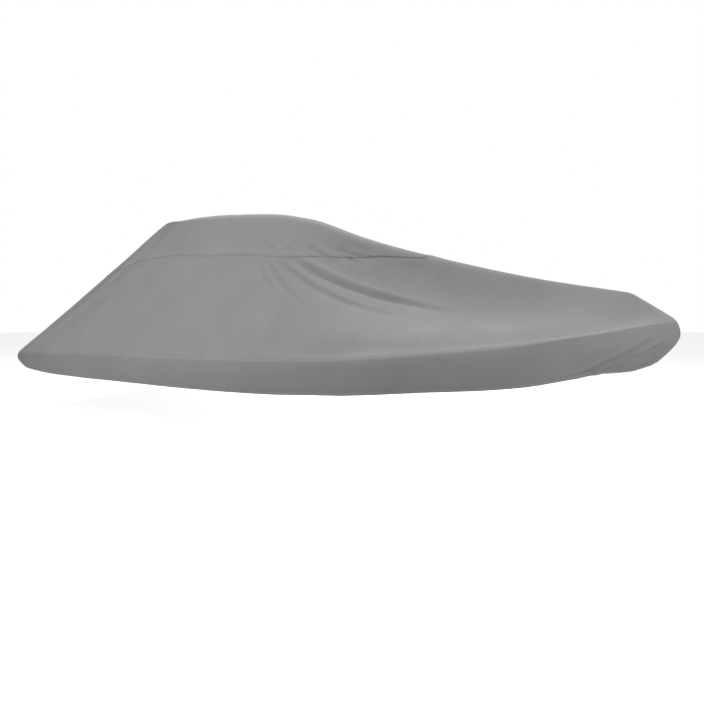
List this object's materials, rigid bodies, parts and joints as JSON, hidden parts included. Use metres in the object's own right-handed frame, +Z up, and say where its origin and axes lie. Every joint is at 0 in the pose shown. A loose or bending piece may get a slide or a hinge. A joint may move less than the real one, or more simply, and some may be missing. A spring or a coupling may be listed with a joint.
{
  "type": "fitted boat cover",
  "caption": "Fitted canvas cover with a raised crown over a boat's roof, long sloping ends, flanks that fold over the rail, and a drawn-in skirt.",
  "frame": {"origin": "underside of the crown cloth on the centreline amidships, where the boat's roof holds the cover up", "axes": "+X towards the nose, +Y to port, +Z up"},
  "size_m": [8.8449, 2.516, 2.1638],
  "materials": {
    "coated_canvas": "matt woven polyester canvas, water-repellent, solution dyed mid grey",
    "seam_thread": "matt bonded polyester sewing thread, a shade darker than the cloth"
  },
  "bodies": {
    "root": {"crown_panel": "coated_canvas", "starboard_panel": "coated_canvas", "port_panel": "coated_canvas"}
  },
  "joints": []
}
